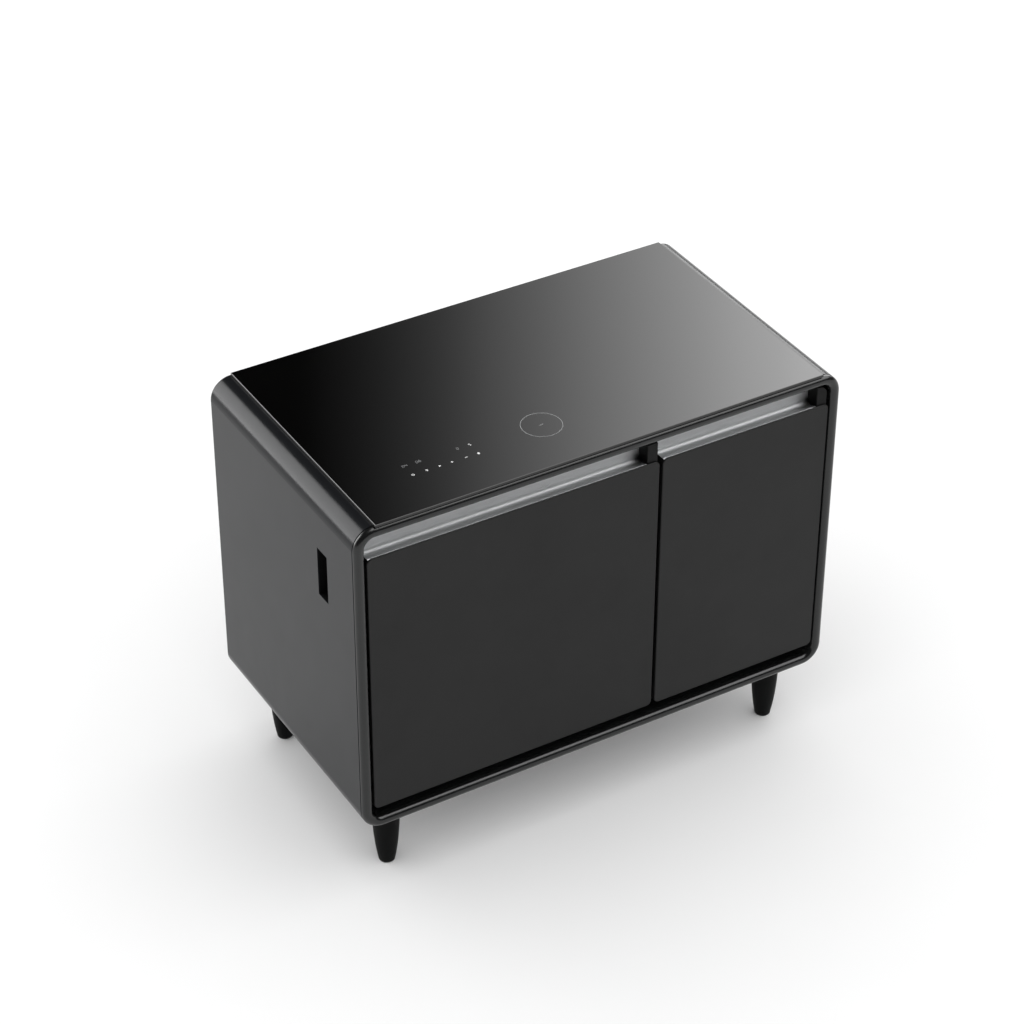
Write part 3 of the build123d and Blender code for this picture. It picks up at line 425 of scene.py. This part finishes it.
def plain_mesh(name, corners, faces):
    """A mesh of the stage, which is no part of the object."""
    item = mesh_object(name, corners, faces)
    return item


floor_half = 40.0
floor = plain_mesh(
    "studio_floor",
    [(x * floor_half, y * floor_half, 0) for x, y in ((-1, -1), (1, -1), (1, 1), (-1, 1))],
    [(0, 1, 2, 3)],
)
floor_finish = Finish("floor_paper", Specular_IOR_Level=0.0)
floor_finish.colour(floor_finish.ramp(floor_finish.noise(2.0), ((0.3, "f2f2f2"), (0.7, "f4f4f4"))))
floor_finish.rough(floor_finish.between(floor_finish.noise(5.0), 0.9, 1.0))
floor.data.materials.append(floor_finish.material)

# A tall soft light far behind on the right, for the glass to mirror: dark at its left end, and
# brightest a third of the way to its right end

panel_distance = 8.0
panel_left, panel_right = 23.0, 75.0
panel_low, panel_high = 1.5, 9.0
panel_steps = 24
panel_peak = 5.4
panel_glow_ends = ((0.0, 0.0), (1.0, 0.8))
panel_glow = (
    (0.02, 0.003),
    (0.077, 0.045),
    (0.135, 0.16),
    (0.192, 0.33),
    (0.25, 0.55),
    (0.308, 0.82),
    (0.365, 1.0),
)
panel_angles = [
    math.radians(panel_left + (panel_right - panel_left) * i / panel_steps)
    for i in range(panel_steps + 1)
]
ring = [(panel_distance * math.sin(a), panel_distance * math.cos(a)) for a in panel_angles]
panel = plain_mesh(
    "soft_gradient_light",
    [(x, y, z) for z in (panel_low, panel_high) for x, y in ring],
    [(i, i + 1, i + 2 + panel_steps, i + 1 + panel_steps) for i in range(panel_steps)],
)
uv = panel.data.uv_layers.new(name="across")
for loop in panel.data.loops:
    uv.data[loop.index].uv = ((loop.vertex_index % (panel_steps + 1)) / panel_steps, 0.5)


def gradient_strength(tree, glow):
    """Links a strength that follows the panel's glow from its left end to its right end."""
    across = tree.nodes.new("ShaderNodeUVMap")
    across.uv_map = "across"
    split = tree.nodes.new("ShaderNodeSeparateXYZ")
    curve = tree.nodes.new("ShaderNodeFloatCurve")
    points = curve.mapping.curves[0].points
    points[0].location, points[1].location = panel_glow_ends
    for x, y in panel_glow:
        points.new(x, y)
    scale = tree.nodes.new("ShaderNodeMath")
    scale.operation = "MULTIPLY"
    scale.inputs[1].default_value = panel_peak
    tree.links.new(across.outputs["UV"], split.inputs["Vector"])
    tree.links.new(split.outputs["X"], curve.inputs["Value"])
    tree.links.new(curve.outputs["Value"], scale.inputs[0])
    tree.links.new(scale.outputs["Value"], glow.inputs["Strength"])


panel.data.materials.append(emission("soft_gradient_light", gradient_strength))
panel.visible_camera = False
panel.visible_diffuse = False
panel.visible_shadow = False
panel.visible_transmission = False

middle = Vector((0.0, 0.0, 0.3))


def soft_light(name, place, size, power):
    """A square area light that faces the middle of the table and shows in its gloss alone."""
    data = bpy.data.lights.new(name, "AREA")
    data.shape = "SQUARE"
    data.size = size
    data.energy = power
    light = bpy.data.objects.new(name, data)
    light.location = place
    light.rotation_euler = (middle - Vector(place)).to_track_quat("-Z", "Y").to_euler()
    light.visible_diffuse = False
    bpy.context.scene.collection.objects.link(light)


soft_light("back_left_softbox", place=(-3.6, 3.3, 2.2), size=4.4, power=480)
soft_light("front_right_softbox", place=(2.3, -1.1, 4.2), size=5.0, power=330)

# White surroundings that light the floor and all that isn't glossy, and don't show in gloss

world_strength = 1.25
world = bpy.data.worlds.new("studio")
bpy.context.scene.world = world
world.use_nodes = True
background = world.node_tree.nodes["Background"]
background.inputs["Color"].default_value = (1.0, 1.0, 1.0, 1.0)
background.inputs["Strength"].default_value = world_strength
world.cycles_visibility.glossy = False

camera_azimuth = math.radians(-30.676)
camera_elevation = math.radians(35.472)
camera_roll = math.radians(0.137)
camera_place = Vector((-1.82708, -3.03992, 2.92333))
camera_lens = 105.49

back = Vector(
    (
        math.sin(camera_azimuth) * math.cos(camera_elevation),
        -math.cos(camera_azimuth) * math.cos(camera_elevation),
        math.sin(camera_elevation),
    )
)
level = (-back).cross(Vector((0, 0, 1))).normalized()
upward = level.cross(-back)
across = level * math.cos(camera_roll) + upward * math.sin(camera_roll)
up = -level * math.sin(camera_roll) + upward * math.cos(camera_roll)
camera_data = bpy.data.cameras.new("camera")
camera_data.sensor_width = 36.0
camera_data.lens = camera_lens
camera_data.clip_end = 200.0
camera = bpy.data.objects.new("camera", camera_data)
turn = Matrix((across, up, back)).transposed().to_4x4()
camera.matrix_world = Matrix.Translation(camera_place) @ turn
bpy.context.scene.collection.objects.link(camera)
bpy.context.scene.camera = camera
bpy.context.scene.view_settings.view_transform = "Standard"
